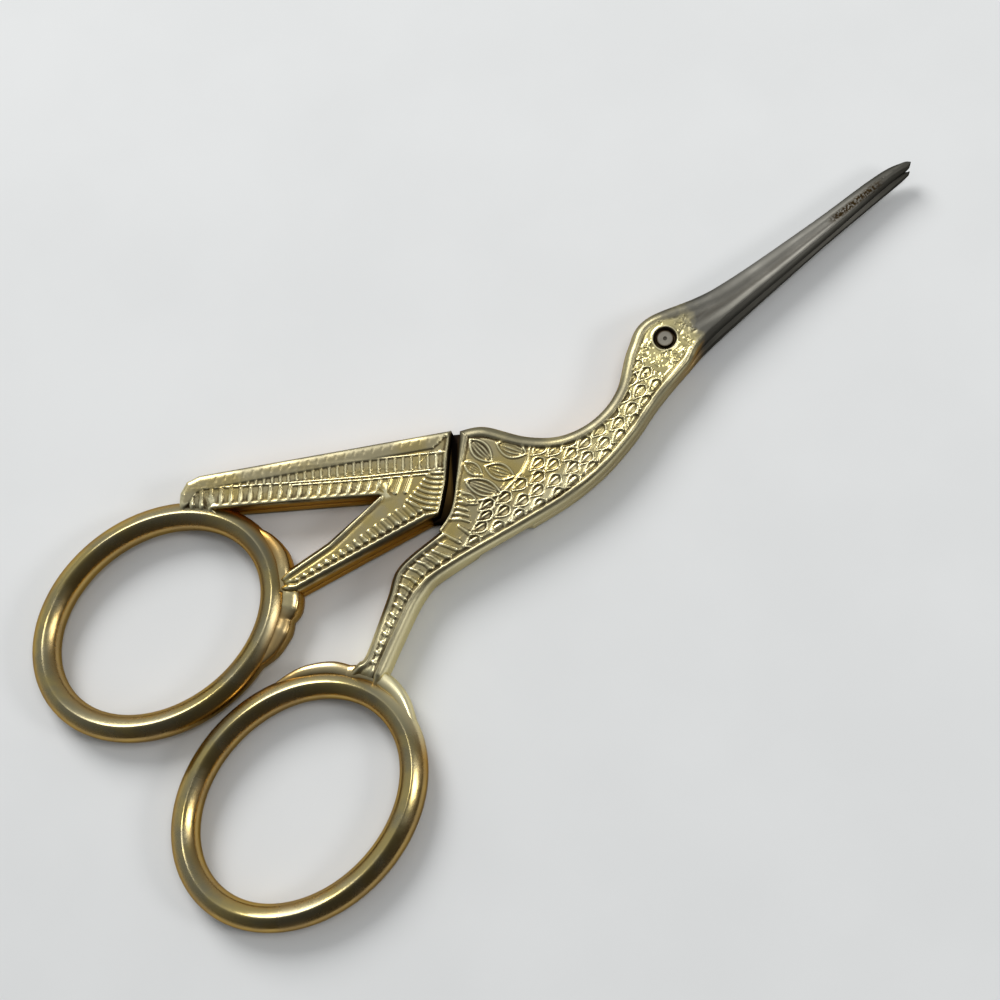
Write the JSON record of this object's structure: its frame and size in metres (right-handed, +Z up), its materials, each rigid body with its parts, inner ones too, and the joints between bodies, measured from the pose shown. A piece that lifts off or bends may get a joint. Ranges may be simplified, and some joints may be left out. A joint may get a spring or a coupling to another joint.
{
  "type": "embroidery scissors",
  "caption": "Stork-shaped embroidery scissors with narrow beak blades, a scaled neck, ribbed tail and legs and oval finger rings, opening on a slotted pivot screw.",
  "frame": {"origin": "on the pivot screw's axis, in the plane that the closed scissors lie on", "axes": "+X along the closed blades towards the tips, +Y towards the rear half's ring and tail, +Z up out of the front half's face"},
  "size_m": [0.1149, 0.0516, 0.0044],
  "materials": {
    "gilt": "forged steel, nickelled and gold plated, worn on the edges; bare satin steel on the blades",
    "steel": "plain turned steel, dull"
  },
  "bodies": {
    "rear": {"rear_half": "gilt"},
    "front": {"front_half": "gilt", "pivot_screw": "steel"}
  },
  "joints": [
    {"name": "pivot", "type": "hinge", "parent": "rear", "child": "front", "pos_m": [0, 0, 0], "axis": [0, 0, 1], "range_deg": [0, 90]}
  ]
}
